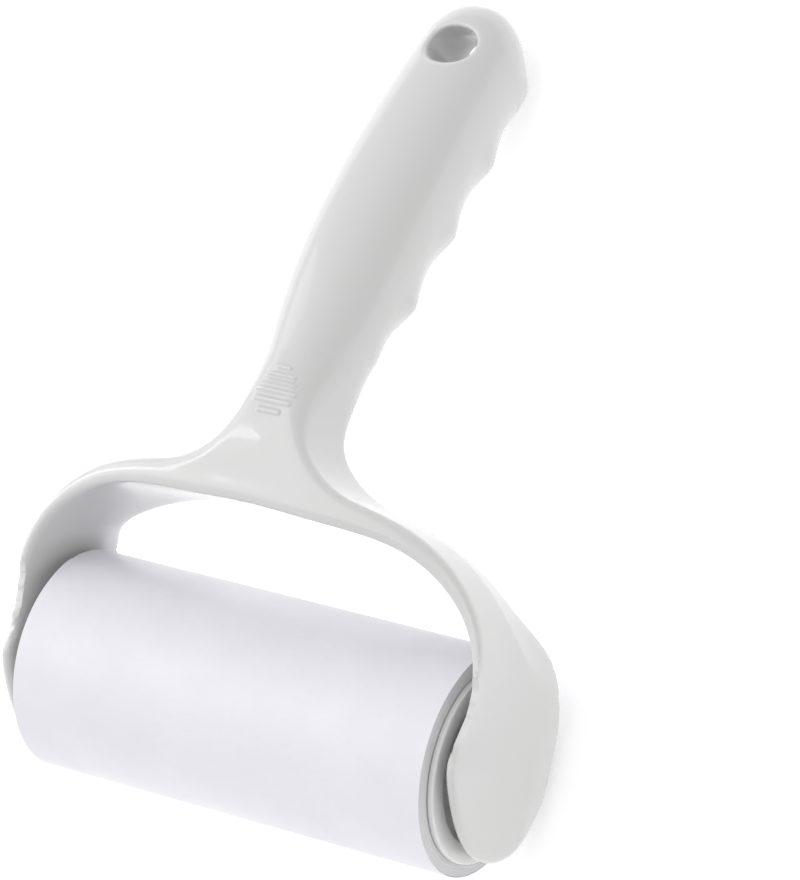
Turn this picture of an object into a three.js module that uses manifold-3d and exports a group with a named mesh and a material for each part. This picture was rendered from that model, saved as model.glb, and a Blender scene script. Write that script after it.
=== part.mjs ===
// Adhesive lint roller with a yoke handle. Millimetres, +Z up, lying on a table as it is put down.
// The roll's axis runs along X, the grip points along +Y with its thumb side up.
// The origin is under the middle of the object's box, on the table.
import * as THREE from 'three';
import { mergeVertices } from 'three/addons/utils/BufferGeometryUtils.js';
import Module from 'manifold-3d';

// ---------- driving dimensions ----------
const ROLL_LENGTH = 101.6;          // a four inch refill
const ROLL_RADIUS = 24;
const PAPER_RADIUS = 21;            // inside of the wound sheets, outside of the core
const CORE_WALL = 2;
const SHEET_THICKNESS = 0.4;
const SHEET_TURN = 352;             // degrees of the roll that the first sheet covers
const SHEET_EDGE_TURN = 40;         // degrees: where the first sheet's edge lies, low at the front
const GAP = 0.3;                    // between pieces that touch on the real object

const PADDLE_X = 56.3;              // the middle of each paddle's plate
const PADDLE_OUTER_X = 57.4;        // and the flat of its outer face
const PADDLE_END_Y = -19.3;
const PADDLE_END_Z = -0.6;
const BOSS_RADIUS = 8;
const BOSS_X = [52.6, 56];          // the bosses that carry the pins stand inwards
const POCKET_X = 53;                // room for a full roll between the arms
const POCKET_RADIUS = 26;

const PIN_RADIUS = 3;
const PIN_HEAD_RADIUS = 5;
const PIN_HEAD_X = [40.5, 43];
const PIN_END_X = 55.7;
const RUNNING_GAP = 0.1;            // radial, between pin and hub

const FLANGE_RADIUS = 20.8;
const FLANGE_X = 52.3;
const FLANGE_THICKNESS = 1.2;
const SLEEVE_WALL = 1.6;
const SLEEVE_DEPTH = 15;
const HUB_RADIUS = 6.5;
const WEB_X = [48.2, 49.8];

const WALL = 2.2;                   // moulded wall of the hollow grip
const NECK_Y = 56;                  // the narrowest part of the grip
const COVER_START_Y = 64;
const PARTING_DROP = 0.6;           // share of the grip's back that the cover leaves bare
const PARTING_RISE_Y = [141, 149];  // the parting rises to the grip's middle before the hole
const CAVITY_Y = [67, 149];
const GRIP_END_Y = 154.9;
const END_ROUND = 14;               // length of the grip's rounded end
const LEAN_Y = [52, 64];            // the rings turn square to the grip's bend over this stretch
const HOLE = { y: 148.4, rx: 5.8, ry: 5.0 };
const SNAP_PIN_Y = [76, 103, 130];  // press pins that hold the cover
const SNAP_PIN_RADIUS = 1.6;
const SNAP_PIN_REACH = 4;           // how far a press pin stands into the frame
const SNAP_POST_RADIUS = 3;
const SNAP_BOSS_RADIUS = 3.5;

const RIB_LENGTHS = [6, 9.3, 10.1, 8.6, 7.3, 4];
const RIB_START_Y = 57.9;
const RIB_PITCH = 1.6;
const RIB_WIDTH = 1;
const RIB_HEIGHT = 0.5;

const SCALLOPS = { y0: 90.5, pitch: 17.7, depth: 1.8, from: 74, to: 154 };

// Larger than the whole handle, for regions that only bound a cut
const FAR = 120;

// Stations along the grip: y, height of its middle, half width, height of the front above the
// middle, depth of the back below it
const GRIP = [
  [44, 20.6, 26.0, 8.0, 8.0],
  [48, 22.1, 18.2, 9.1, 9.1],
  [52, 23.0, 13.2, 9.4, 9.4],
  [56, 22.7, 10.4, 9.9, 9.6],
  [61, 21.4, 9.0, 10.2, 10.0],
  [72, 18.5, 10.4, 10.3, 10.1],
  [90, 12.4, 12.9, 11.7, 11.4],
  [110, 4.3, 13.7, 12.2, 12.0],
  [130, -5.8, 13.4, 12.1, 11.3],
  [148, -16.4, 12.6, 12.8, 10.0],
];

// Stations along half of the yoke, middle to paddle: x, y, z, half thickness, half width
const YOKE = [
  [0, 44.8, 20.9, 5.0, 10.3],
  [15, 43.3, 19.9, 3.7, 11.2],
  [38.3, 38.7, 15.4, 2.5, 12.5],
  [52.3, 28.0, 11.4, 1.85, 12.9],
  [56.0, 18.5, 5.6, 1.5, 17.3],
  [PADDLE_X, 3.0, 0.6, 1.45, 21.7],
  [PADDLE_X, PADDLE_END_Y, PADDLE_END_Z, 1.4, 21.6],
];
const STEPS_PER_STATION = 4;

const ROUND_SIDES = 36;
const RING_SIDES = 20;

// ---------- solids: three.js geometry in, manifold solid out ----------
const wasm = await Module();
wasm.setup();

function solid(geometry) {
  const bare = geometry.index ? geometry.toNonIndexed() : geometry.clone();
  for (const name of Object.keys(bare.attributes)) {
    if (name !== 'position') bare.deleteAttribute(name);
  }
  const merged = mergeVertices(bare, 1e-4);
  const place = merged.attributes.position;
  const index = Array.from(merged.index.array);
  const triangles = [];
  let volume = 0;
  const [a, b, c] = [new THREE.Vector3(), new THREE.Vector3(), new THREE.Vector3()];
  for (let i = 0; i < index.length; i += 3) {
    const [p, q, r] = index.slice(i, i + 3);
    if (p === q || q === r || r === p) continue;
    triangles.push(p, q, r);
    a.fromBufferAttribute(place, p);
    b.fromBufferAttribute(place, q);
    c.fromBufferAttribute(place, r);
    volume += a.dot(b.cross(c));
  }
  if (volume < 0) triangles.reverse();
  const mesh = new wasm.Mesh({
    numProp: 3,
    vertProperties: new Float32Array(place.array),
    triVerts: new Uint32Array(triangles),
  });
  return new wasm.Manifold(mesh);
}

function geometryOf(shape) {
  const mesh = shape.getMesh();
  const geometry = new THREE.BufferGeometry();
  const places = new THREE.BufferAttribute(new Float32Array(mesh.vertProperties), 3);
  geometry.setAttribute('position', places);
  geometry.setIndex(new THREE.BufferAttribute(new Uint32Array(mesh.triVerts), 1));
  geometry.computeVertexNormals();
  return geometry;
}

// A closed skin over a row of rings, each ring a list of the same number of points
function loft(rings) {
  const sides = rings[0].length;
  const places = [];
  const index = [];
  for (const ring of rings) for (const p of ring) places.push(p.x, p.y, p.z);
  for (let i = 0; i + 1 < rings.length; i += 1) {
    for (let j = 0; j < sides; j += 1) {
      const k = (j + 1) % sides;
      const [a, b] = [i * sides + j, i * sides + k];
      index.push(a, b, b + sides, a, b + sides, a + sides);
    }
  }
  for (const [first, flip] of [[0, true], [(rings.length - 1) * sides, false]]) {
    for (let j = 1; j + 1 < sides; j += 1) {
      const fan = [first, first + j, first + j + 1];
      index.push(...(flip ? fan.reverse() : fan));
    }
  }
  const geometry = new THREE.BufferGeometry();
  geometry.setAttribute('position', new THREE.Float32BufferAttribute(places, 3));
  geometry.setIndex(index);
  return geometry;
}

// A superellipse, from a rounded box (high power) to an ellipse (power 2)
function superellipse(a, b, power) {
  const points = [];
  for (let j = 0; j < RING_SIDES; j += 1) {
    const turn = (2 * Math.PI * j) / RING_SIDES;
    const [c, s] = [Math.cos(turn), Math.sin(turn)];
    const u = a * Math.sign(c) * Math.abs(c) ** (2 / power);
    const v = b * Math.sign(s) * Math.abs(s) ** (2 / power);
    points.push([u, v]);
  }
  return points;
}

// The value in column k of a table of stations, at a place x between them, as a smooth cubic.
// Past the last station it goes on in a straight line.
function smooth(stations, k, x) {
  const last = stations.length - 1;
  const value = (i) => stations[i][k];
  const slope = (i) => {
    const [a, b] = [Math.max(0, i - 1), Math.min(last, i + 1)];
    return (value(b) - value(a)) / (stations[b][0] - stations[a][0]);
  };
  if (x <= stations[0][0]) return value(0) + slope(0) * (x - stations[0][0]);
  if (x >= stations[last][0]) return value(last) + slope(last) * (x - stations[last][0]);
  let i = 0;
  while (stations[i + 1][0] < x) i += 1;
  const span = stations[i + 1][0] - stations[i][0];
  const t = (x - stations[i][0]) / span;
  const [t2, t3] = [t * t, t * t * t];
  return value(i) * (2 * t3 - 3 * t2 + 1) + value(i + 1) * (3 * t2 - 2 * t3)
    + span * (slope(i) * (t3 - 2 * t2 + t) + slope(i + 1) * (t3 - t2));
}

function cylinderX(radius, x0, x1, sides = ROUND_SIDES) {
  const geometry = new THREE.CylinderGeometry(radius, radius, Math.abs(x1 - x0), sides);
  geometry.rotateZ(Math.PI / 2);
  geometry.translate((x0 + x1) / 2, 0, 0);
  return solid(geometry);
}

function cylinderZ(radius, y, z0, z1, sides = RING_SIDES) {
  const geometry = new THREE.CylinderGeometry(radius, radius, z1 - z0, sides);
  geometry.rotateX(Math.PI / 2);
  geometry.translate(0, y, (z0 + z1) / 2);
  return solid(geometry);
}

// A ring or cup about the X axis from a closed profile of [x, r] points
function turnedX(profile, sides = ROUND_SIDES) {
  const points = [...profile, profile[0]].map(([x, r]) => new THREE.Vector2(r, x));
  const geometry = new THREE.LatheGeometry(points, sides);
  geometry.rotateZ(-Math.PI / 2);
  return solid(geometry);
}

function ovalZ(y, rx, ry, z0, z1) {
  const shape = new THREE.Shape();
  shape.absellipse(0, y, rx, ry, 0, 2 * Math.PI);
  const geometry = new THREE.ExtrudeGeometry(shape, {
    depth: z1 - z0, bevelEnabled: false, curveSegments: 12,
  });
  geometry.translate(0, 0, z0);
  return solid(geometry);
}

const mirrored = (shape) => shape.mirror([1, 0, 0]);

// ---------- the grip's surface ----------
function gripAt(y) {
  const [z, half, front, back] = [1, 2, 3, 4].map((k) => smooth(GRIP, k, y));
  return { z, half, front, back };
}

// The four finger hollows, as a wave along the grip's underside
function scallop(y) {
  if (y < SCALLOPS.from || y > SCALLOPS.to) return 0;
  const span = (y - SCALLOPS.from) / (SCALLOPS.to - SCALLOPS.from);
  const fade = Math.min(1, 4 * Math.min(span, 1 - span));
  return SCALLOPS.depth * fade * Math.cos((2 * Math.PI * (y - SCALLOPS.y0)) / SCALLOPS.pitch);
}

function gripRing(y, grow) {
  const { z, half, front, back } = gripAt(y);
  const slope = gripAt(y + 0.5).z - gripAt(y - 0.5).z;
  const lean = Math.atan(slope) * THREE.MathUtils.smoothstep(y, ...LEAN_Y);
  const into = Math.max(0, y - (GRIP_END_Y - END_ROUND)) / END_ROUND;
  const cap = Math.sqrt(Math.max(0.002, 1 - into * into));
  const ring = [];
  for (const [u, v] of superellipse(half * cap + grow, 1, 2.3)) {
    const depth = (v > 0 ? front : back) * cap + grow;
    const reach = v * depth - scallop(y) * Math.max(0, -v);
    ring.push(new THREE.Vector3(u, y - reach * Math.sin(lean), z + reach * Math.cos(lean)));
  }
  return ring;
}

function gripSolid(y0, y1, grow, step = 3.6) {
  const rings = [];
  const straight = Math.min(y1, GRIP_END_Y - END_ROUND);
  const count = Math.max(2, Math.round((straight - y0) / step));
  for (let i = 0; i <= count; i += 1) rings.push(gripRing(y0 + ((straight - y0) * i) / count, grow));
  if (y1 > straight) {
    const turns = 6;
    const full = Math.asin((y1 - straight) / END_ROUND);
    for (let i = 1; i <= turns; i += 1) {
      rings.push(gripRing(straight + END_ROUND * Math.sin((full * i) / turns), grow));
    }
  }
  return solid(loft(rings));
}

// ---------- the yoke: one bar bent from paddle to paddle ----------
function yokeRing(place, ahead, thickness, width) {
  const along = ahead.clone().normalize();
  const across = new THREE.Vector3(0, 0, 1).addScaledVector(along, -along.z).normalize();
  const normal = new THREE.Vector3().crossVectors(across, along);
  return superellipse(thickness, width, 3.4).map(([u, v]) => place.clone()
    .addScaledVector(normal, u).addScaledVector(across, v));
}

function yokeSolid() {
  const mirror = YOKE.slice(1).reverse().map(([x, ...rest]) => [-x, ...rest]);
  const whole = [...mirror, ...YOKE];
  const spine = new THREE.CatmullRomCurve3(
    whole.map(([x, y, z]) => new THREE.Vector3(x, y, z)), false, 'catmullrom', 0.5);
  const section = new THREE.SplineCurve(whole.map((s) => new THREE.Vector2(s[3], s[4])));
  const segments = whole.length - 1;
  const steps = STEPS_PER_STATION * segments;
  const rings = [];
  for (let i = 0; i <= steps; i += 1) {
    // the last segment at each end is the paddle's round end, with rings closer to its tip
    const even = i / STEPS_PER_STATION;
    const toTip = Math.max(0, 1 - even, even - (segments - 1));
    const eased = Math.sin((toTip * Math.PI) / 2);
    const middle = even - segments / 2;
    const t = (toTip > 0 ? segments / 2 + Math.sign(middle) * (segments / 2 - 1 + eased) : even)
      / segments;
    const cap = Math.max(0.04, Math.sqrt(1 - eased * eased));
    const size = section.getPoint(t);
    const thin = 0.45 + 0.55 * cap;
    rings.push(yokeRing(spine.getPoint(t), spine.getTangent(t), size.x * thin, size.y * cap));
  }
  return solid(loft(rings));
}

// The height of the parting line between the frame and the cover
function partingHeight(y) {
  const { z, back } = gripAt(y);
  return z - PARTING_DROP * back * (1 - THREE.MathUtils.smoothstep(y, ...PARTING_RISE_Y));
}

// The region of the grip that the cover takes: below the parting line, past its start
function coverRegion(inset) {
  const [start, end] = [COVER_START_Y + inset, GRIP_END_Y + END_ROUND];
  const shape = new THREE.Shape();
  shape.moveTo(start, -FAR);
  const step = 4;
  for (let y = start; y < end; y += step) shape.lineTo(y, partingHeight(y) - inset);
  shape.lineTo(end, partingHeight(end) - inset);
  shape.lineTo(end, -FAR);
  const geometry = new THREE.ExtrudeGeometry(shape, { depth: 2 * FAR, bevelEnabled: false });
  geometry.translate(0, 0, -FAR);
  geometry.rotateY(Math.PI / 2);
  geometry.rotateX(Math.PI / 2);
  return solid(geometry);
}

// ---------- pieces of the handle ----------
function thumbRibs() {
  const top = gripAt(RIB_START_Y).z;
  const margin = 2;
  const skin = gripSolid(RIB_START_Y - margin, RIB_START_Y + RIB_PITCH * RIB_LENGTHS.length
    + margin, RIB_HEIGHT);
  let ribs = null;
  RIB_LENGTHS.forEach((length, i) => {
    const y = RIB_START_Y + RIB_PITCH * i;
    const reach = length / 2 - RIB_WIDTH / 2;
    const shape = new THREE.Shape();
    shape.absarc(reach, y, RIB_WIDTH / 2, -Math.PI / 2, Math.PI / 2);
    shape.absarc(-reach, y, RIB_WIDTH / 2, Math.PI / 2, (3 * Math.PI) / 2);
    const bar = new THREE.ExtrudeGeometry(shape, {
      depth: FAR, bevelEnabled: false, curveSegments: 3,
    });
    bar.translate(0, 0, top);
    const rib = solid(bar);
    ribs = ribs ? ribs.add(rib) : rib;
  });
  return ribs.intersect(skin);
}

const grip = gripSolid(GRIP[0][0], GRIP_END_Y, 0);
const tunnel = ovalZ(HOLE.y, HOLE.rx, HOLE.ry, -FAR, FAR);
const tunnelWall = ovalZ(HOLE.y, HOLE.rx + WALL, HOLE.ry + WALL, -FAR, FAR);
const hiddenStep = 6;               // coarser rings do for surfaces inside the grip
const gripInside = gripSolid(NECK_Y, GRIP_END_Y - WALL, -WALL / 2, hiddenStep);
const cavity = gripSolid(...CAVITY_Y, -WALL, hiddenStep).subtract(tunnelWall);

function yokeFrame() {
  const pocket = cylinderX(POCKET_RADIUS, -POCKET_X, POCKET_X);
  const slab = new THREE.BoxGeometry(FAR, 2 * FAR, 2 * FAR);
  slab.translate(PADDLE_OUTER_X + FAR / 2, 0, 0);
  const outside = solid(slab);
  let yoke = yokeSolid().subtract(pocket).subtract(outside).subtract(mirrored(outside));
  const boss = cylinderX(BOSS_RADIUS, ...BOSS_X);
  const socket = cylinderX(PIN_RADIUS + GAP, BOSS_X[0] - 1, PIN_END_X + GAP);
  yoke = yoke.add(boss).add(mirrored(boss)).subtract(socket).subtract(mirrored(socket));

  let frame = grip.subtract(coverRegion(0)).subtract(cavity).add(yoke).add(thumbRibs());
  for (const y of SNAP_PIN_Y) {
    const parting = partingHeight(y);
    const snapBoss = cylinderZ(SNAP_BOSS_RADIUS, y, parting + GAP, parting + FAR);
    const bore = cylinderZ(SNAP_PIN_RADIUS + GAP, y, parting - GAP, parting + SNAP_PIN_REACH + 1);
    frame = frame.add(snapBoss.intersect(gripInside)).subtract(bore);
  }
  return frame.subtract(tunnel);
}

function gripCover() {
  const region = coverRegion(GAP);
  let cover = grip.intersect(region).subtract(cavity);
  for (const y of SNAP_PIN_Y) {
    const parting = partingHeight(y);
    const post = cylinderZ(SNAP_POST_RADIUS, y, parting - FAR, parting - 1);
    const pin = cylinderZ(SNAP_PIN_RADIUS, y, parting - 2, parting + SNAP_PIN_REACH);
    cover = cover.add(post.intersect(gripInside)).add(pin);
  }
  return cover.subtract(tunnel);
}

// A turned pin: its head stays inside the roll and its shaft is pressed into the paddle
function axlePin() {
  const head = cylinderX(PIN_HEAD_RADIUS, ...PIN_HEAD_X, 32);
  return head.add(cylinderX(PIN_RADIUS, PIN_HEAD_X[1] - 0.5, PIN_END_X));
}

// ---------- pieces of the roll ----------
function endCap() {
  const sleeveRadius = PAPER_RADIUS - CORE_WALL - GAP;
  const recess = sleeveRadius - SLEEVE_WALL;
  const back = FLANGE_X - FLANGE_THICKNESS;
  const hubBack = PIN_HEAD_X[1] + GAP;
  const bore = PIN_RADIUS + RUNNING_GAP;
  return turnedX([
    [FLANGE_X, recess], [FLANGE_X, FLANGE_RADIUS],
    [back, FLANGE_RADIUS], [back, sleeveRadius],
    [back - SLEEVE_DEPTH, sleeveRadius], [back - SLEEVE_DEPTH, recess],
    [WEB_X[0], recess], [WEB_X[0], HUB_RADIUS],
    [hubBack, HUB_RADIUS], [hubBack, bore],
    [FLANGE_X, bore], [FLANGE_X, HUB_RADIUS],
    [WEB_X[1], HUB_RADIUS], [WEB_X[1], recess],
  ]);
}

function tubeX(inner, outer) {
  const half = ROLL_LENGTH / 2;
  return turnedX([[-half, inner], [-half, outer], [half, outer], [half, inner]], 64);
}

function topSheet() {
  const gap = (360 - SHEET_TURN) / 2;
  const from = THREE.MathUtils.degToRad(gap);
  const to = 2 * Math.PI - from;
  const shape = new THREE.Shape();
  shape.absarc(0, 0, ROLL_RADIUS, from, to, false);
  shape.absarc(0, 0, ROLL_RADIUS - SHEET_THICKNESS, to, from, true);
  const geometry = new THREE.ExtrudeGeometry(shape, {
    depth: ROLL_LENGTH, bevelEnabled: false, curveSegments: 72,
  });
  geometry.translate(0, 0, -ROLL_LENGTH / 2);
  geometry.rotateY(Math.PI / 2);
  geometry.rotateX(THREE.MathUtils.degToRad(SHEET_EDGE_TURN));
  return solid(geometry);
}

// ---------- the object ----------
const material = (color, roughness) => new THREE.MeshStandardMaterial({
  color, roughness, metalness: 0,
});
const whitePlastic = material(0xe6e6e6, 0.25);
const capPlastic = material(0xdadada, 0.35);
const whitePaper = material(0xecebf1, 0.45);
const layeredPaper = material(0xd8d8dc, 0.8);
const kraftBoard = material(0x8a5a3c, 0.9);

const object = new THREE.Group();
function piece(name, shape, finish) {
  const mesh = new THREE.Mesh(geometryOf(shape), finish);
  mesh.name = name;
  object.add(mesh);
}

piece('yoke_frame', yokeFrame(), whitePlastic);
piece('grip_cover', gripCover(), whitePlastic);
const pin = axlePin();
piece('axle_pin_right', pin, capPlastic);
piece('axle_pin_left', mirrored(pin), capPlastic);
const cap = endCap();
piece('end_cap_right', cap, capPlastic);
piece('end_cap_left', mirrored(cap), capPlastic);
piece('paper_core', tubeX(PAPER_RADIUS - CORE_WALL, PAPER_RADIUS - GAP), kraftBoard);
piece('wound_sheets', tubeX(PAPER_RADIUS, ROLL_RADIUS - SHEET_THICKNESS - GAP), layeredPaper);
piece('top_sheet', topSheet(), whitePaper);

// The roll's axis is one roll radius above the table, and Y is centred on the whole length
const middle = new THREE.Box3().setFromObject(object, true).getCenter(new THREE.Vector3());
object.position.set(0, -middle.y, ROLL_RADIUS);

export default object;
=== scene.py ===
"""An adhesive lint roller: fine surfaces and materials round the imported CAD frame.

Shapes are worked out in millimetres about the middle of the roll's axis (X along the roll,
Y towards the end of the grip, Z up) and placed in the frame in metres.
"""
import math

import bmesh
import bpy
import numpy as np
from mathutils import Matrix, Vector


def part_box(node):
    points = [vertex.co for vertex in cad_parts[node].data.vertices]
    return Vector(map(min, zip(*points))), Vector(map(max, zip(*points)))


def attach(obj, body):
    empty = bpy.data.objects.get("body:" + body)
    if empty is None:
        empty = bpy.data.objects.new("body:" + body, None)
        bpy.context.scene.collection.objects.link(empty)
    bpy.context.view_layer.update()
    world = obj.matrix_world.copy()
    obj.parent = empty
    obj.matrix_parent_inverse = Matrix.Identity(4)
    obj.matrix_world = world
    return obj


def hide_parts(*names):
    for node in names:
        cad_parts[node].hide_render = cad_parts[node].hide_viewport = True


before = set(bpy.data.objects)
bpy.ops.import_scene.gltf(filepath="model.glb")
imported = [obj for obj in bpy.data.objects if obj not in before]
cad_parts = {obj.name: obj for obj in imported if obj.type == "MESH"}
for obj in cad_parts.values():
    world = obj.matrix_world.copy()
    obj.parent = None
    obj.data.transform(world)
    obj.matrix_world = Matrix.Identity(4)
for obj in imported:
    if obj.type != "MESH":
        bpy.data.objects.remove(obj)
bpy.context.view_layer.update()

# ---------- sizes that the frame gives ----------
MM = 0.001
pin_low, pin_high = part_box("axle_pin_right")
AXIS = Vector((0, (pin_low.y + pin_high.y) / 2, (pin_low.z + pin_high.z) / 2))
sheet_low, sheet_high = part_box("top_sheet")
ROLL_RADIUS = (sheet_high.z - sheet_low.z) / 2 / MM
HALF_ROLL = sheet_high.x / MM
PADDLE_OUTER_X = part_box("yoke_frame")[1].x / MM

# ---------- driving dimensions of the handle, in millimetres ----------
# Along the grip: y, height of its widest line, half width, height of the front, depth of the back
GRIP = np.array([
    [44, 22.4, 12.2, 9.2, 9.2],
    [52, 23.2, 9.3, 9.2, 9.4],
    [61, 21.4, 8.6, 10.2, 10.0],
    [72, 18.5, 10.4, 10.3, 10.1],
    [90, 12.4, 12.9, 11.7, 11.4],
    [110, 4.3, 13.7, 12.2, 12.0],
    [130, -5.8, 13.4, 12.1, 11.3],
    [148, -16.4, 12.6, 12.8, 10.4],
])
FRONT_POWER, BACK_POWER = 2.2, 2.4
GRIP_START_Y = 42
GRIP_END_Y = 152.2
FILLET = 11.5
ROUNDING_Y = (50, 74)
END_ROUND = 12
END_SLANT = 0.3
LEAN_Y = (52, 64)
SCALLOP = {"crest": 90.5, "pitch": 17.7, "depth": 1.9, "soft": 0.18, "from": 74, "to": 158}

# Along half of the yoke: x, y, z, half thickness, half width, crest line, slopes of the outer
# face towards the -Z and the +Z edge, twist
YOKE = np.array([
    [0, 44.8, 21.3, 5.0, 10.3, -6.0, 0.0, 0.0, 0.0],
    [15, 43.3, 20.3, 3.6, 11.1, -6.0, 0.0, 0.0, -0.03],
    [38.3, 38.7, 15.4, 2.5, 12.5, -3.0, 0.06, 0.05, 0.06],
    [52.4, 28.0, 11.4, 1.8, 12.9, -2.5, 0.12, 0.055, 0.03],
    [56.2, 18.3, 6.7, 1.5, 16.7, -5.9, 0.14, 0.055, 0.0],
    [56.3, 6.0, 1.0, 1.45, 21.4, -10.5, 0.15, 0.03, 0.0],
    [56.3, -19.3, -0.6, 1.4, 21.7, -9.7, 0.15, 0.03, 0.0],
])
YOKE_POWER = 2.6
EDGE_REACH = 3.0
RIM_REACH = 2.0
CREST_SOFTNESS = 0.5

BOSS_RADIUS = 8
BOSS_X = (52.6, 56.2)
SOCKET_RADIUS = 3.3
SOCKET_END_X = 56.0

HOLE = {"y": 145.5, "rx": 5.5, "ry": 4.4, "lip": 1.5}
RIB_LENGTHS = (6.0, 9.3, 10.1, 8.6, 7.3, 4.0)
RIB_START_Y = 57.9
RIB_PITCH = 1.6
RIB_WIDTH = 1.0
RIB_HEIGHT = 0.45
COVER_START_Y = 64
COVER_HOLE_SET_BACK = 0.45
PARTING_GAP = 0.04
PARTING_DROP = 0.6
PARTING_RISE_Y = (141, 149)

# Past these, a point of the handle belongs to the grip alone or to the bar alone
GRIP_ALONE_Y = 72
BAR_ALONE_X = 46
BAR_ALONE_Y = 28

# The rough grip widens towards the bar, so that it holds the material of the fillets
FLARE = {"from": 60, "length": 16, "width": 13}

TABLE_STEP = 0.05
CUT_Z = (-60, 40)
CUT_X = 40
CUT_LOW_Z = -70
VOXEL = 0.6


# ---------- small helpers ----------
def natural_spline(x, y):
    """The smooth curve through the points, as a function of x that goes straight on past its ends."""
    n = len(x)
    h = np.diff(x)
    matrix = np.eye(n)
    right = np.zeros_like(y)
    for i in range(1, n - 1):
        matrix[i, i - 1:i + 2] = h[i - 1], 2 * (h[i - 1] + h[i]), h[i]
        right[i] = 6 * ((y[i + 1] - y[i]) / h[i] - (y[i] - y[i - 1]) / h[i - 1])
    bend = np.linalg.solve(matrix, right)

    def value(q):
        q = np.asarray(q, float)
        inside = np.clip(q, x[0], x[-1])
        i = np.clip(np.searchsorted(x, inside) - 1, 0, n - 2)
        a, b, w = x[i + 1] - inside, inside - x[i], h[i]
        if y.ndim > 1:
            a, b, w = a[:, None], b[:, None], w[:, None]
        curve = (bend[i] * a ** 3 + bend[i + 1] * b ** 3) / (6 * w)
        return curve + (y[i] / w - bend[i] * w / 6) * a + (y[i + 1] / w - bend[i + 1] * w / 6) * b
    return value


def smoothstep(x, low, high):
    t = np.clip((x - low) / (high - low), 0, 1)
    return t * t * (3 - 2 * t)


def smooth_min(a, b, k):
    """The lower of two fields, with a round of about k where they meet."""
    h = np.clip(0.5 + 0.5 * (b - a) / k, 0, 1)
    return b + (a - b) * h - k * h * (1 - h)


def smooth_max(a, b, k):
    return -smooth_min(-a, -b, k)


def oval_field(u, v, a, b, power):
    """Roughly the distance from a superellipse of half sizes a and b, below 0 inside."""
    u, v = np.abs(u / a) + 1e-6, np.abs(v / b) + 1e-6
    rho = (u ** power + v ** power) ** (1 / power)
    steep = np.hypot(u ** (power - 1) / a, v ** (power - 1) / b) / rho ** (power - 1)
    return rho, steep


# ---------- the handle as a smooth field: below 0 inside, about millimetres outside ----------
table_y = np.arange(GRIP[0, 0] - 12, GRIP_END_Y + 14, TABLE_STEP)
table_grip = [natural_spline(GRIP[:, 0], GRIP[:, k])(table_y) for k in (1, 2, 3, 4)]
past_end = table_y > GRIP[-1, 0]
for k, column in enumerate(table_grip):
    slope = (column[~past_end][-1] - column[~past_end][-2]) / TABLE_STEP
    column[past_end] = column[~past_end][-1] + slope * (table_y[past_end] - GRIP[-1, 0])
table_lean = np.arctan(np.gradient(table_grip[0], table_y)) * smoothstep(table_y, *LEAN_Y)


def grip_column(k, s):
    return np.interp(s, table_y, table_lean if k == "lean" else table_grip[k])


def scallop(s):
    """The finger hollows: round troughs between sharper crests, fading out at both ends."""
    wave = np.sin(np.pi * (s - SCALLOP["crest"]) / SCALLOP["pitch"])
    fade = (smoothstep(s, SCALLOP["from"], SCALLOP["from"] + 9)
            * (1 - smoothstep(s, SCALLOP["to"] - 8, SCALLOP["to"])))
    return SCALLOP["depth"] * fade * (0.68 - np.hypot(wave, SCALLOP["soft"]))


def grip_place(p):
    """Where points are along the grip, and their height over its middle line."""
    y, z = p[:, 1], p[:, 2]
    s = y.copy()
    for _ in range(6):
        lean, middle = grip_column("lean", s), grip_column(0, s)
        s = s + (y - s) * np.cos(lean) + (z - middle) * np.sin(lean)
    lean, middle = grip_column("lean", s), grip_column(0, s)
    return s, (z - middle) * np.cos(lean) - (y - s) * np.sin(lean)


def grip_parts(p, ribs):
    """The grip's reach across its width and its thickness: distances past each, and the sizes."""
    s, n = grip_place(p)
    a, b = grip_column(1, s), np.where(n > 0, grip_column(2, s), grip_column(3, s))
    power = np.where(n > 0, FRONT_POWER, BACK_POWER)
    raised = scallop(s) * smoothstep(-n / b, -0.1, 0.6)
    if ribs:
        raised = raised + RIB_HEIGHT * rib_height(p[:, 0], s) * (n > 0)
    end = np.clip((s - END_SLANT * n - (GRIP_END_Y - END_ROUND)) / END_ROUND, 0, None)
    beside = smooth_max(np.abs(p[:, 0]) - a, GRIP_START_Y - p[:, 1], 4.0)
    return beside, np.abs(n) - b, a, b, power, end, raised


def rib_height(x, s):
    """1 on the crests of the thumb ribs, falling to 0 beside them."""
    height = np.zeros_like(x)
    for i, length in enumerate(RIB_LENGTHS):
        reach = length / 2 - RIB_WIDTH / 2
        away = np.hypot(np.maximum(np.abs(x) - reach, 0), s - RIB_START_Y - RIB_PITCH * i)
        height = np.maximum(height, 1 - smoothstep(away, 0.1, 0.58 * RIB_WIDTH))
    return height


def yoke_table():
    """The bent bar from paddle to paddle, finely sampled: length along, middle, frame, sizes."""
    mirror = YOKE[:0:-1].copy()
    mirror[:, 0] *= -1
    whole = np.vstack([mirror, YOKE])
    chord = np.concatenate([[0], np.cumsum(np.linalg.norm(np.diff(whole[:, :3], axis=0), axis=1))])
    curve = natural_spline(chord, whole)
    along = np.arange(0, chord[-1], 0.1)
    rows = curve(along)
    tangent = np.gradient(rows[:, :3], axis=0)
    tangent /= np.linalg.norm(tangent, axis=1)[:, None]
    across = np.array([0, 0, 1.0]) - tangent * tangent[:, 2:]
    across /= np.linalg.norm(across, axis=1)[:, None]
    outward = np.cross(across, tangent)
    turn = rows[:, 8:]
    across, outward = (across * np.cos(turn) + outward * np.sin(turn),
                       outward * np.cos(turn) - across * np.sin(turn))
    return {"along": along, "middle": rows[:, :3], "tangent": tangent, "across": across,
            "outward": outward, "sizes": rows[:, 3:8], "tip": (chord[1], chord[-2]),
            "end": chord[-1]}


BAR = yoke_table()
COARSE = 10


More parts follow.
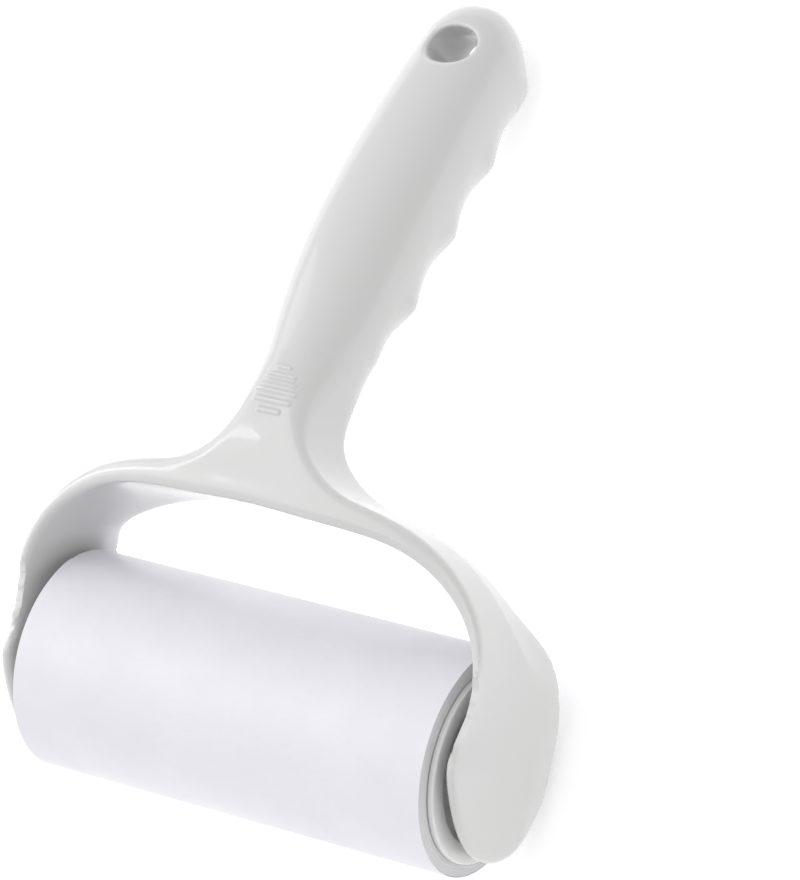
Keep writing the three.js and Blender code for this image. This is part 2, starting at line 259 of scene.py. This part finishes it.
def bar_columns(s, name):
    table = BAR[name]
    return np.stack([np.interp(s, BAR["along"], table[:, k]) for k in range(table.shape[1])], 1)


def bar_place(p):
    """Each point's place along the bar, and its coordinates outward from and across the bar."""
    coarse = BAR["middle"][::COARSE]
    near = np.empty(len(p), int)
    for i in range(0, len(p), 20000):
        part = p[i:i + 20000]
        near[i:i + 20000] = np.argmin((coarse ** 2).sum(1) - 2 * part @ coarse.T, axis=1)
    s = BAR["along"][::COARSE][near]
    for _ in range(3):
        offset = p - bar_columns(s, "middle")
        s = np.clip(s + (offset * bar_columns(s, "tangent")).sum(1), 0, BAR["end"])
    offset = p - bar_columns(s, "middle")
    beyond = (offset * bar_columns(s, "tangent")).sum(1)
    u = (offset * bar_columns(s, "outward")).sum(1)
    v = (offset * bar_columns(s, "across")).sum(1)
    return s + beyond, u, v


def bar_parts(p):
    """Distances past the bar's faces and past its outline, half its thickness, and how far out."""
    s, u, v = bar_place(p)
    thick, wide, crest, flank, face = bar_columns(s, "sizes").T
    away = np.sqrt((crest - v) ** 2 + CREST_SOFTNESS ** 2)
    fall = (flank * (away + crest - v) + face * (away - crest + v)) / 2
    fall = np.minimum(fall, 1.4 * thick)
    thick = thick - fall / 2
    first, last = BAR["tip"]
    past_tip = np.clip(np.maximum((first - s) / first, (s - last) / (BAR["end"] - last)), 0, None)
    v = np.abs(v) / wide + 1e-6
    rho = np.hypot(v, past_tip)
    steep = np.hypot(v / wide, past_tip / first) / rho
    return np.abs(u + fall / 2) - thick, (rho - 1) / steep, thick, u


def plate_field(d, e, a, b, power):
    """A plate from its distances past its two pairs of faces, its edges round over a and b."""
    x, y = np.maximum(1 + d / a, 0) + 1e-6, np.maximum(1 + e / b, 0) + 1e-6
    rho = (x ** power + y ** power) ** (1 / power)
    steep = np.hypot(x ** (power - 1) / a, y ** (power - 1) / b) / rho ** (power - 1)
    return (rho - 1) / steep


def bar_field(p):
    """The bent bar and its paddles."""
    d, e, thick, _ = bar_parts(p)
    return plate_field(d, e, np.minimum(thick, EDGE_REACH), RIM_REACH, YOKE_POWER)


def grip_field(p, ribs):
    """The grip, its section drawn in over its rounded end."""
    d, e, a, b, power, end, raised = grip_parts(p, ribs)
    rho, steep = oval_field(d + a, e + b, a, b, power)
    whole = np.hypot(rho, end)
    return (whole - 1) / (np.hypot(rho * steep, end / END_ROUND) / whole) - raised


def neck_field(p, ribs):
    """Where the grip grows out of the bar: one plate whose outline is filleted between them."""
    d0, e0, thick, u = bar_parts(p)
    d1, e1, a1, b1, power1, _, raised = grip_parts(p, ribs)
    k = 0.5 + FILLET * smoothstep(u / thick, -0.8, 0.8)
    share = np.clip(0.5 + 0.5 * (d0 - d1) / k, 0, 1)
    beside = d0 + (d1 - d0) * share - k * share * (1 - share)
    e = e0 + (e1 - e0) * share
    rounding = share * smoothstep(p[:, 1], *ROUNDING_Y)
    a, b, power = (one + (other - one) * rounding for one, other in (
        (np.minimum(thick, EDGE_REACH), a1), (RIM_REACH, b1), (YOKE_POWER, power1)))
    return plate_field(beside, e, a, b, power) - raised


def handle_field(p, ribs=False):
    """The whole handle: grip, bar, what joins them, the bosses and the hang hole."""
    field = np.empty(len(p))
    grip_only = p[:, 1] > GRIP_ALONE_Y
    bar_only = (np.abs(p[:, 0]) > BAR_ALONE_X) | (p[:, 1] < BAR_ALONE_Y)
    both = ~grip_only & ~bar_only
    field[grip_only] = grip_field(p[grip_only], ribs)
    field[bar_only] = bar_field(p[bar_only])
    field[both] = neck_field(p[both], ribs)
    x, from_axis = np.abs(p[:, 0]), np.hypot(p[:, 1], p[:, 2])
    middle, half = sum(BOSS_X) / 2, (BOSS_X[1] - BOSS_X[0]) / 2
    boss = np.maximum(np.abs(x - middle) - half, from_axis - BOSS_RADIUS)
    field = smooth_min(field, boss, 0.8)
    field = smooth_max(field, x - PADDLE_OUTER_X, 0.5)
    rho, steep = oval_field(p[:, 0], p[:, 1] - HOLE["y"], HOLE["rx"], HOLE["ry"], 2.2)
    return smooth_max(field, (1 - rho) / steep, HOLE["lip"])


def onto_surface(p, ribs=False, rounds=3):
    """Moves points along the field's slope until they lie on its surface."""
    step = 0.02
    for _ in range(rounds):
        here = handle_field(p, ribs)
        slope = np.stack([(handle_field(p + d, ribs) - here) / step
                          for d in np.eye(3) * step], 1)
        move = here / np.maximum((slope ** 2).sum(1), 0.2)
        p = p - np.clip(move, -1.5, 1.5)[:, None] * slope
    return p


# ---------- mesh helpers ----------
def new_mesh(name, points, faces):
    mesh = bpy.data.meshes.new(name)
    mesh.from_pydata([tuple(p) for p in points], [], faces)
    mesh.validate()
    return mesh


def scratch(name, points, faces):
    obj = bpy.data.objects.new(name, new_mesh(name, points, faces))
    bpy.context.scene.collection.objects.link(obj)
    return obj


def get_points(mesh):
    co = np.empty(len(mesh.vertices) * 3)
    mesh.vertices.foreach_get("co", co)
    return co.reshape(-1, 3)


def set_points(mesh, points):
    mesh.vertices.foreach_set("co", np.ascontiguousarray(points, dtype=np.float32).ravel())
    mesh.update()


def loft(rings):
    """Closed skin over a row of rings with the same number of points: points and faces."""
    sides = len(rings[0])
    points = np.vstack(rings)
    faces = []
    for i in range(len(rings) - 1):
        for j in range(sides):
            a, b = i * sides + j, i * sides + (j + 1) % sides
            faces.append((a, b, b + sides, a + sides))
    faces.append(tuple(range(sides))[::-1])
    faces.append(tuple(range(len(points) - sides, len(points))))
    return points, faces


def apply_modifier(obj, kind, **settings):
    modifier = obj.modifiers.new(kind.lower(), kind)
    for key, value in settings.items():
        setattr(modifier, key, value)
    evaluated = obj.evaluated_get(bpy.context.evaluated_depsgraph_get())
    mesh = bpy.data.meshes.new_from_object(evaluated)
    obj.modifiers.clear()
    old = obj.data
    obj.data = mesh
    bpy.data.meshes.remove(old)
    return obj


def remove(obj):
    mesh = obj.data
    bpy.data.objects.remove(obj)
    bpy.data.meshes.remove(mesh)


def prism_z(outline, low, high):
    """A closed upright prism over an outline of (x, y) points."""
    x, y = np.array(outline).T
    if (x * np.roll(y, -1) - y * np.roll(x, -1)).sum() < 0:
        outline = outline[::-1]
    n = len(outline)
    points = [(x, y, low) for x, y in outline] + [(x, y, high) for x, y in outline]
    faces = [tuple(range(n))[::-1], tuple(range(n, 2 * n))]
    faces += [(i, (i + 1) % n, (i + 1) % n + n, i + n) for i in range(n)]
    return points, faces


def relax(mesh, share=0.5):
    """Evens out the mesh: each point moves towards the middle of its neighbours."""
    points = get_points(mesh)
    edges = np.empty(len(mesh.edges) * 2, int)
    mesh.edges.foreach_get("vertices", edges)
    a, b = edges.reshape(-1, 2).T
    total = np.zeros_like(points)
    count = np.zeros(len(points))
    for one, other in ((a, b), (b, a)):
        np.add.at(total, one, points[other])
        np.add.at(count, one, 1)
    return points + share * (total / count[:, None] - points)


def subdivide_where(mesh, chosen, cuts):
    """Splits the faces whose middle the test picks, for detail that needs a finer mesh."""
    bm = bmesh.new()
    bm.from_mesh(mesh)
    faces = [f for f in bm.faces if chosen(f.calc_center_median())]
    edges = list({e for f in faces for e in f.edges})
    bmesh.ops.subdivide_edges(bm, edges=edges, cuts=cuts, use_grid_fill=True)
    bmesh.ops.triangulate(bm, faces=[f for f in bm.faces if len(f.verts) > 4])
    bm.to_mesh(mesh)
    bm.free()
    mesh.update()


def face_outward(obj):
    bm = bmesh.new()
    bm.from_mesh(obj.data)
    bmesh.ops.recalc_face_normals(bm, faces=bm.faces)
    bm.to_mesh(obj.data)
    bm.free()


# ---------- handle: one fine surface, parted into frame and cover ----------
def handle_blank():
    """Rough grip, bar and bosses, joined, with the hang hole cut, as an even voxel mesh."""
    turns = np.linspace(0, 2 * np.pi, 32, endpoint=False)
    c, s = np.cos(turns), np.sin(turns)
    rings = []
    for y in np.append(np.arange(GRIP[0, 0] + 0.5, GRIP_END_Y - 1, 2), GRIP_END_Y - 0.6):
        at = np.array([y])
        middle, a, front, back = (grip_column(k, at)[0] for k in range(4))
        lean = grip_column("lean", at)[0]
        q = max(0, (y - GRIP_END_Y + END_ROUND) / END_ROUND)
        cap = math.sqrt(1 - q * q)
        n = np.where(s > 0, front, back) * cap * s
        a += FLARE["width"] * max(0, (FLARE["from"] - y) / FLARE["length"]) ** 2
        rings.append(np.stack([a * cap * c, y - n * math.sin(lean), middle + n * math.cos(lean)], 1))
    blank = scratch("blank", *loft(rings))
    rings = []
    first, last = BAR["tip"]
    for at in np.arange(0.4, BAR["end"], 1.5):
        place, out, across = (bar_columns([at], k)[0] for k in ("middle", "outward", "across"))
        thick, wide = bar_columns([at], "sizes")[0, :2]
        q = max(0, (first - at) / first, (at - last) / (BAR["end"] - last))
        wide *= math.sqrt(max(0.01, 1 - q * q))
        square = np.maximum(np.abs(c), np.abs(s)) ** 0.5
        rings.append(place + np.outer(0.95 * thick * c / square, out)
                     + np.outer(0.97 * wide * s / square, across))
    bar = scratch("bar", *loft(rings))
    bosses = [disc("boss", side * BOSS_X[0], side * BOSS_X[1], BOSS_RADIUS) for side in (-1, 1)]
    for part in (blank, bar, *bosses):
        face_outward(part)
    for part in (bar, *bosses):
        apply_modifier(blank, "BOOLEAN", object=part, operation="UNION", solver="EXACT")
        remove(part)
    outline = [(HOLE["rx"] * a, HOLE["y"] + HOLE["ry"] * b) for a, b in zip(c, s)]
    tunnel = scratch("tunnel", *prism_z(outline, *CUT_Z))
    apply_modifier(blank, "BOOLEAN", object=tunnel, operation="DIFFERENCE", solver="MANIFOLD")
    remove(tunnel)
    return apply_modifier(blank, "REMESH", mode="VOXEL", voxel_size=VOXEL)


def handle_surface():
    blank = handle_blank()
    mesh = blank.data
    set_points(mesh, onto_surface(get_points(mesh), rounds=4))
    for _ in range(6):
        set_points(mesh, onto_surface(relax(mesh), rounds=1))
    apply_modifier(blank, "REMESH", mode="VOXEL", voxel_size=VOXEL)
    mesh = blank.data
    set_points(mesh, onto_surface(get_points(mesh), rounds=3))
    for _ in range(6):
        set_points(mesh, onto_surface(relax(mesh), rounds=1))
    rib_end = RIB_START_Y + RIB_PITCH * len(RIB_LENGTHS)
    subdivide_where(mesh, lambda m: abs(m.x) < 6.2 and RIB_START_Y - 2 < m.y < rib_end + 1
                    and m.z > 24, 3)
    subdivide_where(mesh, lambda m: math.hypot(m.x, m.y - HOLE["y"]) < 10.5, 1)
    set_points(mesh, onto_surface(get_points(mesh), ribs=True, rounds=3))
    return blank


def parting_height(y):
    """The parting line runs low along the grip and rises to its middle at the hang hole."""
    low = PARTING_DROP * (1 - smoothstep(y, *PARTING_RISE_Y))
    return grip_column(0, y) - low * grip_column(3, y)


def parting_prism(name, drop):
    """The side of the parting line that the cover takes, lowered by drop."""
    start = COVER_START_Y + drop
    ys = np.append(np.arange(start, GRIP_END_Y + 4, 1.0), GRIP_END_Y + 8)
    outline = [(start, CUT_LOW_Z)] + list(zip(ys, parting_height(ys) - drop))
    outline.append((ys[-1], CUT_LOW_Z))
    points, faces = prism_z(outline, -CUT_X, CUT_X)
    return scratch(name, [(z, x, y) for x, y, z in points], faces)


def copy_of(obj, name):
    twin = bpy.data.objects.new(name, obj.data.copy())
    bpy.context.scene.collection.objects.link(twin)
    return twin


# ---------- turned pieces ----------
def rounded(profile, radius, steps=4):
    """Replaces each corner of a closed outline by a small arc."""
    points = []
    n = len(profile)
    for i, corner in enumerate(profile):
        p = np.array(corner, float)
        before = np.array(profile[i - 1], float) - p
        after = np.array(profile[(i + 1) % n], float) - p
        r = min(radius, 0.45 * np.linalg.norm(before), 0.45 * np.linalg.norm(after))
        a = p + before / np.linalg.norm(before) * r
        b = p + after / np.linalg.norm(after) * r
        for t in np.linspace(0, 1, steps):
            points.append(tuple((1 - t) ** 2 * a + 2 * t * (1 - t) * p + t * t * b))
    return points


def turned(profile, sides=160):
    """A ring or cup about the X axis from a closed outline of (x, r) points."""
    n = len(profile)
    points = []
    for j in range(sides):
        turn = 2 * math.pi * j / sides
        points += [(x, r * math.cos(turn), r * math.sin(turn)) for x, r in profile]
    faces = []
    for j in range(sides):
        k = (j + 1) % sides
        for i in range(n):
            m = (i + 1) % n
            faces.append((j * n + i, j * n + m, k * n + m, k * n + i))
    return points, faces


def disc(name, x0, x1, radius):
    """A short round bar about the X axis, as a scratch object."""
    return scratch(name, *turned([(x0, 1e-3), (x0, radius), (x1, radius), (x1, 1e-3)], 48))


def finish_piece(name, source, body, nodes, material, side=1):
    """Turns millimetre points and faces, or a scratch object, into a finished piece."""
    if isinstance(source, bpy.types.Object):
        obj = source
        obj.name = name
    else:
        obj = scratch(name, *source)
    obj.data.transform(Matrix.Translation(AXIS) @ Matrix.Scale(MM, 4)
                       @ Matrix.Diagonal((side, 1, 1, 1)))
    bm = bmesh.new()
    bm.from_mesh(obj.data)
    bmesh.ops.remove_doubles(bm, verts=bm.verts, dist=1e-7)
    bmesh.ops.recalc_face_normals(bm, faces=bm.faces)
    bm.to_mesh(obj.data)
    bm.free()
    obj.data.shade_smooth()
    obj.data.set_sharp_from_angle(angle=math.radians(32))
    obj.data.materials.clear()
    obj.data.materials.append(material)
    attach(obj, body)
    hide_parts(*nodes)
    return obj


# ---------- materials ----------
class Look:
    """A Principled material and short ways to add texture nodes to it."""

    def __init__(self, name, **sockets):
        self.material = bpy.data.materials.new(name)
        self.material.use_nodes = True
        self.tree = self.material.node_tree
        self.shader = next(n for n in self.tree.nodes if n.type == "BSDF_PRINCIPLED")
        for key, value in sockets.items():
            self.shader.inputs[key.replace("_", " ")].default_value = value
        self.place = self.node("ShaderNodeTexCoord").outputs["Object"]

    def node(self, kind, **inputs):
        node = self.tree.nodes.new(kind)
        for key, value in inputs.items():
            self.put(node.inputs[key.replace("_", " ")], value)
        return node

    def put(self, socket, value):
        if isinstance(value, bpy.types.NodeSocket):
            self.tree.links.new(value, socket)
        else:
            socket.default_value = value

    def stretched(self, scale):
        return self.node("ShaderNodeMapping", Vector=self.place, Scale=scale).outputs["Vector"]

    def noise(self, scale, detail=4.0, rough=0.5, place=None):
        node = self.node("ShaderNodeTexNoise", Vector=place or self.place, Scale=scale,
                         Detail=detail, Roughness=rough)
        return node.outputs["Fac"]

    def ramp(self, value, low, high, to_low, to_high):
        """Maps low..high to to_low..to_high, clamped."""
        node = self.node("ShaderNodeMapRange", Value=value, From_Min=low, From_Max=high,
                         To_Min=to_low, To_Max=to_high)
        return node.outputs["Result"]

    def mix(self, share, one, other):
        node = self.tree.nodes.new("ShaderNodeMix")
        node.data_type = "RGBA"
        for key, value in (("Factor_Float", share), ("A_Color", one), ("B_Color", other)):
            self.put(next(s for s in node.inputs if s.identifier == key), value)
        return next(s for s in node.outputs if s.identifier == "Result_Color")

    def math(self, operation, one, other=0.0):
        node = self.tree.nodes.new("ShaderNodeMath")
        node.operation = operation
        self.put(node.inputs[0], one)
        self.put(node.inputs[1], other)
        return node.outputs[0]

    def bump(self, *layers):
        """Stacks bumps, each a height and the depth in millimetres of its 0 to 1."""
        normal = None
        for height, depth in layers:
            node = self.node("ShaderNodeBump", Height=height, Strength=1.0, Distance=depth * MM)
            if normal:
                self.put(node.inputs["Normal"], normal)
            normal = node.outputs["Normal"]
        self.put(self.shader.inputs["Normal"], normal)

    def set(self, socket, value):
        self.put(self.shader.inputs[socket], value)


def plastic(name, colour, roughness):
    """Injection-moulded white plastic: polished, with a faint orange peel and flow marks."""
    look = Look(name, IOR=1.5, Subsurface_Weight=0.3, Subsurface_Scale=0.003,
                Subsurface_Radius=(1, 1, 1), Coat_Weight=0.5, Coat_Roughness=0.06)
    flow = look.noise(18, 2.0, place=look.stretched((1.0, 0.25, 1.0)))
    tint = [channel * 0.965 for channel in colour[:2]] + [colour[2] * 0.95, 1]
    look.set("Base Color", look.mix(look.ramp(flow, 0.35, 0.65, 0, 1), (*colour, 1), tint))
    haze = look.noise(110, 5.0, 0.6)
    look.set("Roughness", look.ramp(haze, 0.3, 0.7, roughness - 0.035, roughness + 0.045))
    peel = look.noise(700, 2.0)
    sink = look.noise(35, 1.0)
    look.bump((sink, 0.02), (peel, 0.0025))
    return look.material


def coated_paper():
    """The top sheet: smooth white release paper with a satin, slightly tacky face."""
    look = Look("coated_paper", IOR=1.46)
    cloud = look.noise(60, 4.0, 0.6)
    fibre = look.noise(900, 3.0, 0.6, place=look.stretched((0.35, 1.0, 1.0)))
    mottled = look.mix(look.ramp(cloud, 0.35, 0.65, 0, 1), (0.80, 0.79, 0.845, 1),
                       (0.77, 0.762, 0.82, 1))
    look.set("Base Color", look.mix(look.ramp(fibre, 0.55, 0.75, 0, 0.35), mottled,
                                    (0.73, 0.725, 0.78, 1)))
    look.set("Roughness", look.ramp(cloud, 0.3, 0.7, 0.33, 0.42))
    look.bump((look.noise(90, 2.0), 0.02), (fibre, 0.004))
    return look.material


def layered_paper():
    """The edges of the wound sheets: fine rings of paper and adhesive."""
    look = Look("layered_paper", IOR=1.45)
    split = look.node("ShaderNodeSeparateXYZ", Vector=look.place)
    y = look.math("SUBTRACT", split.outputs["Y"], AXIS.y)
    z = look.math("SUBTRACT", split.outputs["Z"], AXIS.z)
    radius = look.math("SQRT", look.math("ADD", look.math("MULTIPLY", y, y),
                                         look.math("MULTIPLY", z, z)))
    rings = look.math("SINE", look.math("MULTIPLY", radius, 2 * math.pi / (0.12 * MM)))
    grime = look.noise(400, 4.0, 0.65)
    look.set("Base Color", look.mix(look.ramp(look.math("ADD", rings, grime), -0.6, 1.6, 0, 1),
                                    (0.74, 0.735, 0.745, 1), (0.88, 0.875, 0.885, 1)))
    look.set("Roughness", look.ramp(grime, 0.3, 0.7, 0.6, 0.8))
    look.bump((rings, 0.02), (grime, 0.02))
    return look.material


def kraft_board():
    """The core: brown board wound in a spiral."""
    look = Look("kraft_board", IOR=1.4)
    fibre = look.noise(350, 6.0, 0.7, place=look.stretched((0.4, 1.0, 1.0)))
    look.set("Base Color", look.mix(look.ramp(fibre, 0.3, 0.7, 0, 1), (0.27, 0.14, 0.075, 1),
                                    (0.40, 0.24, 0.14, 1)))
    look.set("Roughness", look.ramp(fibre, 0.3, 0.7, 0.75, 0.9))
    look.bump((fibre, 0.05))
    return look.material


handle_look = plastic("white_gloss_plastic", (0.65, 0.65, 0.653), 0.2)
# The cap's base colour is painted lighter than the handle's plastic. This is painted light: it stands
# in for the light that the paddle's shade keeps off the roll's end.
cap_look = plastic("white_cap_plastic", (0.80, 0.80, 0.805), 0.34)
pin_look = plastic("white_pin_plastic", (0.64, 0.64, 0.645), 0.42)


# ---------- the pieces ----------
def build_handle():
    """One surface cut along the parting line, so that frame and cover meet all the way."""
    whole = handle_surface()
    cover = copy_of(whole, "cover")
    below = parting_prism("below", PARTING_GAP)
    apply_modifier(cover, "BOOLEAN", object=below, operation="INTERSECT", solver="MANIFOLD")
    turns = np.linspace(0, 2 * np.pi, 96, endpoint=False)
    rx, ry = HOLE["rx"] + COVER_HOLE_SET_BACK, HOLE["ry"] + COVER_HOLE_SET_BACK
    outline = [(rx * math.cos(t), HOLE["y"] + ry * math.sin(t)) for t in turns]
    wider = scratch("wider", *prism_z(outline, *CUT_Z))
    apply_modifier(cover, "BOOLEAN", object=wider, operation="DIFFERENCE", solver="MANIFOLD")
    above = parting_prism("above", -PARTING_GAP)
    apply_modifier(whole, "BOOLEAN", object=above, operation="DIFFERENCE", solver="MANIFOLD")
    for side in (-1, 1):
        mouth, end = side * (BOSS_X[0] - 0.5), side * SOCKET_END_X
        socket = disc("socket", mouth, end, SOCKET_RADIUS)
        face_outward(socket)
        apply_modifier(whole, "BOOLEAN", object=socket, operation="DIFFERENCE", solver="EXACT")
        remove(socket)
    for tool in (below, wider, above):
        remove(tool)
    finish_piece("handle_frame", whole, "handle", ["yoke_frame"], handle_look)
    finish_piece("handle_cover", cover, "handle", ["grip_cover"], handle_look)


def build_pins():
    head, shaft = 5, 3
    profile = [(40.5, 0.01), (40.5, head - 0.6), (41.1, head), (43, head), (43, shaft),
               (54.9, shaft), (55.7, shaft - 0.7), (55.7, 0.01)]
    for side, word in ((1, "right"), (-1, "left")):
        finish_piece(f"pin_{word}", turned(rounded(profile, 0.25), 64), "handle",
                     [f"axle_pin_{word}"], pin_look, side)


def build_caps():
    face, rim, back = 52.3, 20.8, 50.95
    sleeve, recess, hub, bore = 17.9, 16.3, 6.5, 3.1
    profile = [(face - 0.35, recess), (face, recess + 0.5), (face, rim - 0.25), (face - 0.3, rim),
               (back, rim), (back, sleeve), (36.9, sleeve), (36.1, sleeve - 0.5), (36.1, recess),
               (48.2, recess), (48.2, hub), (43.3, hub), (43.3, bore), (face, bore),
               (face, hub - 0.5), (face - 0.5, hub), (49.8, hub), (49.8, recess)]
    for side, word in ((1, "right"), (-1, "left")):
        finish_piece(f"cap_{word}", turned(rounded(profile, 0.35)), "roll",
                     [f"end_cap_{word}"], cap_look, side)


def build_core():
    inner, outer, half = 18.2, 19.9, HALF_ROLL
    profile = [(-half, inner), (-half, outer), (half, outer), (half, inner)]
    finish_piece("core_tube", turned(rounded(profile, 0.2)), "roll", ["paper_core"],
                 kraft_board())


def build_sheets():
    """The wound sheets show their edges as fine rings at both ends."""
    inner, outer, half = 20.2, 23.6, HALF_ROLL
    rings = 12
    width = (outer - inner) / rings
    face = []
    for i in range(rings):
        r = inner + i * width
        dip = 0.10 + 0.05 * math.sin(2.4 * i)
        face += [(half - dip, r), (half - 0.02 * (i % 2), r + 0.3 * width),
                 (half - 0.03, r + 0.8 * width)]
    face.append((half - 0.1, outer))
    profile = face + [(-x, r) for x, r in reversed(face)]
    finish_piece("sheet_stack", turned(profile), "roll", ["wound_sheets"],
                 layered_paper())


def build_top_sheet():
    """One thin sheet wound once, its free edge lapping over its own start."""
    thickness, lap_rise, half = 0.16, 0.19, HALF_ROLL
    start = math.radians(40)
    whole, lap = 2 * math.pi, math.radians(7)
    steps = 400
    inner, outer = [], []
    for i in range(steps + 1):
        turn = (whole + lap) * i / steps
        rise = max(0.0, (turn - whole + 2 * lap) / (3 * lap))
        rise = rise * rise * (3 - 2 * rise)
        r = ROLL_RADIUS - lap_rise + lap_rise * rise
        if i == steps:
            turn += 0.002
        a = start - turn
        outer.append((r * math.cos(a), r * math.sin(a)))
        inner.append(((r - thickness) * math.cos(a), (r - thickness) * math.sin(a)))
    outline = outer + inner[::-1]
    n = len(outline)
    xs = [-half, -half + 0.04, half - 0.04, half]
    points, faces = [], []
    for x in xs:
        for y, z in outline:
            points.append((x, y, z))
    for k in range(len(xs) - 1):
        for i in range(n):
            j = (i + 1) % n
            faces.append((k * n + i, k * n + j, (k + 1) * n + j, (k + 1) * n + i))
    m = len(outer)
    for k in (0, len(xs) - 1):
        for i in range(m - 1):
            a, b, c, d = i, i + 1, n - 2 - i, n - 1 - i
            quad = tuple(k * n + q for q in (a, b, c, d))
            faces.append(quad if k else quad[::-1])
    finish_piece("outer_sheet", (points, faces), "roll", ["top_sheet"],
                 coated_paper())


build_handle()
build_pins()
build_caps()
build_core()
build_sheets()
build_top_sheet()


# ---------- floor, light and camera ----------
def build_floor():
    look = Look("pale_floor", Roughness=0.9, IOR=1.2, Emission_Color=(1, 1, 1, 1),
                Emission_Strength=0.35)
    grain = look.noise(6, 3.0)
    look.set("Base Color", look.mix(look.ramp(grain, 0.3, 0.7, 0, 1), (0.93, 0.93, 0.93, 1),
                                    (0.915, 0.915, 0.92, 1)))
    mesh = bpy.data.meshes.new("floor")
    bm = bmesh.new()
    bmesh.ops.create_circle(bm, cap_ends=True, segments=96, radius=4)
    bm.to_mesh(mesh)
    bm.free()
    floor = bpy.data.objects.new("floor", mesh)
    mesh.materials.append(look.material)
    bpy.context.scene.collection.objects.link(floor)


def soft_light(name, place, size, watts):
    """A rectangular softbox at a place, turned to the middle of the object."""
    light = bpy.data.lights.new(name, "AREA")
    light.shape = "RECTANGLE"
    light.size, light.size_y = size
    light.energy = watts
    holder = bpy.data.objects.new(name, light)
    holder.location = place
    holder.rotation_euler = (Vector((0, 0, 0.02)) - Vector(place)).to_track_quat("-Z", "Y").to_euler()
    bpy.context.scene.collection.objects.link(holder)


def build_studio():
    """A pale room, dimmer on the right: a broad and a narrow softbox on the left, one overhead
    and a weak one on the right."""
    world = bpy.data.worlds.new("studio")
    bpy.context.scene.world = world
    world.use_nodes = True
    nodes, links = world.node_tree.nodes, world.node_tree.links
    background = nodes["Background"]
    place = nodes.new("ShaderNodeTexCoord")
    split = nodes.new("ShaderNodeSeparateXYZ")
    fade = nodes.new("ShaderNodeMapRange")
    for key, value in (("From Min", -0.8), ("From Max", 0.5), ("To Min", 0.84), ("To Max", 0.63)):
        fade.inputs[key].default_value = value
    links.new(place.outputs["Generated"], split.inputs["Vector"])
    links.new(split.outputs["X"], fade.inputs["Value"])
    links.new(fade.outputs["Result"], background.inputs["Strength"])
    background.inputs["Color"].default_value = (1, 1, 1, 1)
    soft_light("broad_softbox", (-0.80, 0.10, 0.95), (1.0, 1.7), 5.4)
    soft_light("strip_softbox", (-0.84, 0.02, 0.52), (0.09, 1.0), 1.0)
    soft_light("top_softbox", (0.25, -0.1, 1.5), (0.8, 0.5), 2.0)
    soft_light("right_softbox", (1.0, -0.1, 0.35), (0.5, 1.0), 0.7)
    bpy.context.scene.view_settings.view_transform = "Standard"


def build_camera():
    camera = bpy.data.cameras.new("camera")
    camera.lens = 182
    camera.sensor_width = 36
    camera.clip_start, camera.clip_end = 0.05, 20
    holder = bpy.data.objects.new("camera", camera)
    holder.location = AXIS + Vector((0.48462, 0.01281, 0.80069))
    holder.rotation_euler = [math.radians(turn) for turn in (11.1563, 28.7034, 16.4831)]
    bpy.context.scene.collection.objects.link(holder)
    bpy.context.scene.camera = holder


build_floor()
build_studio()
build_camera()
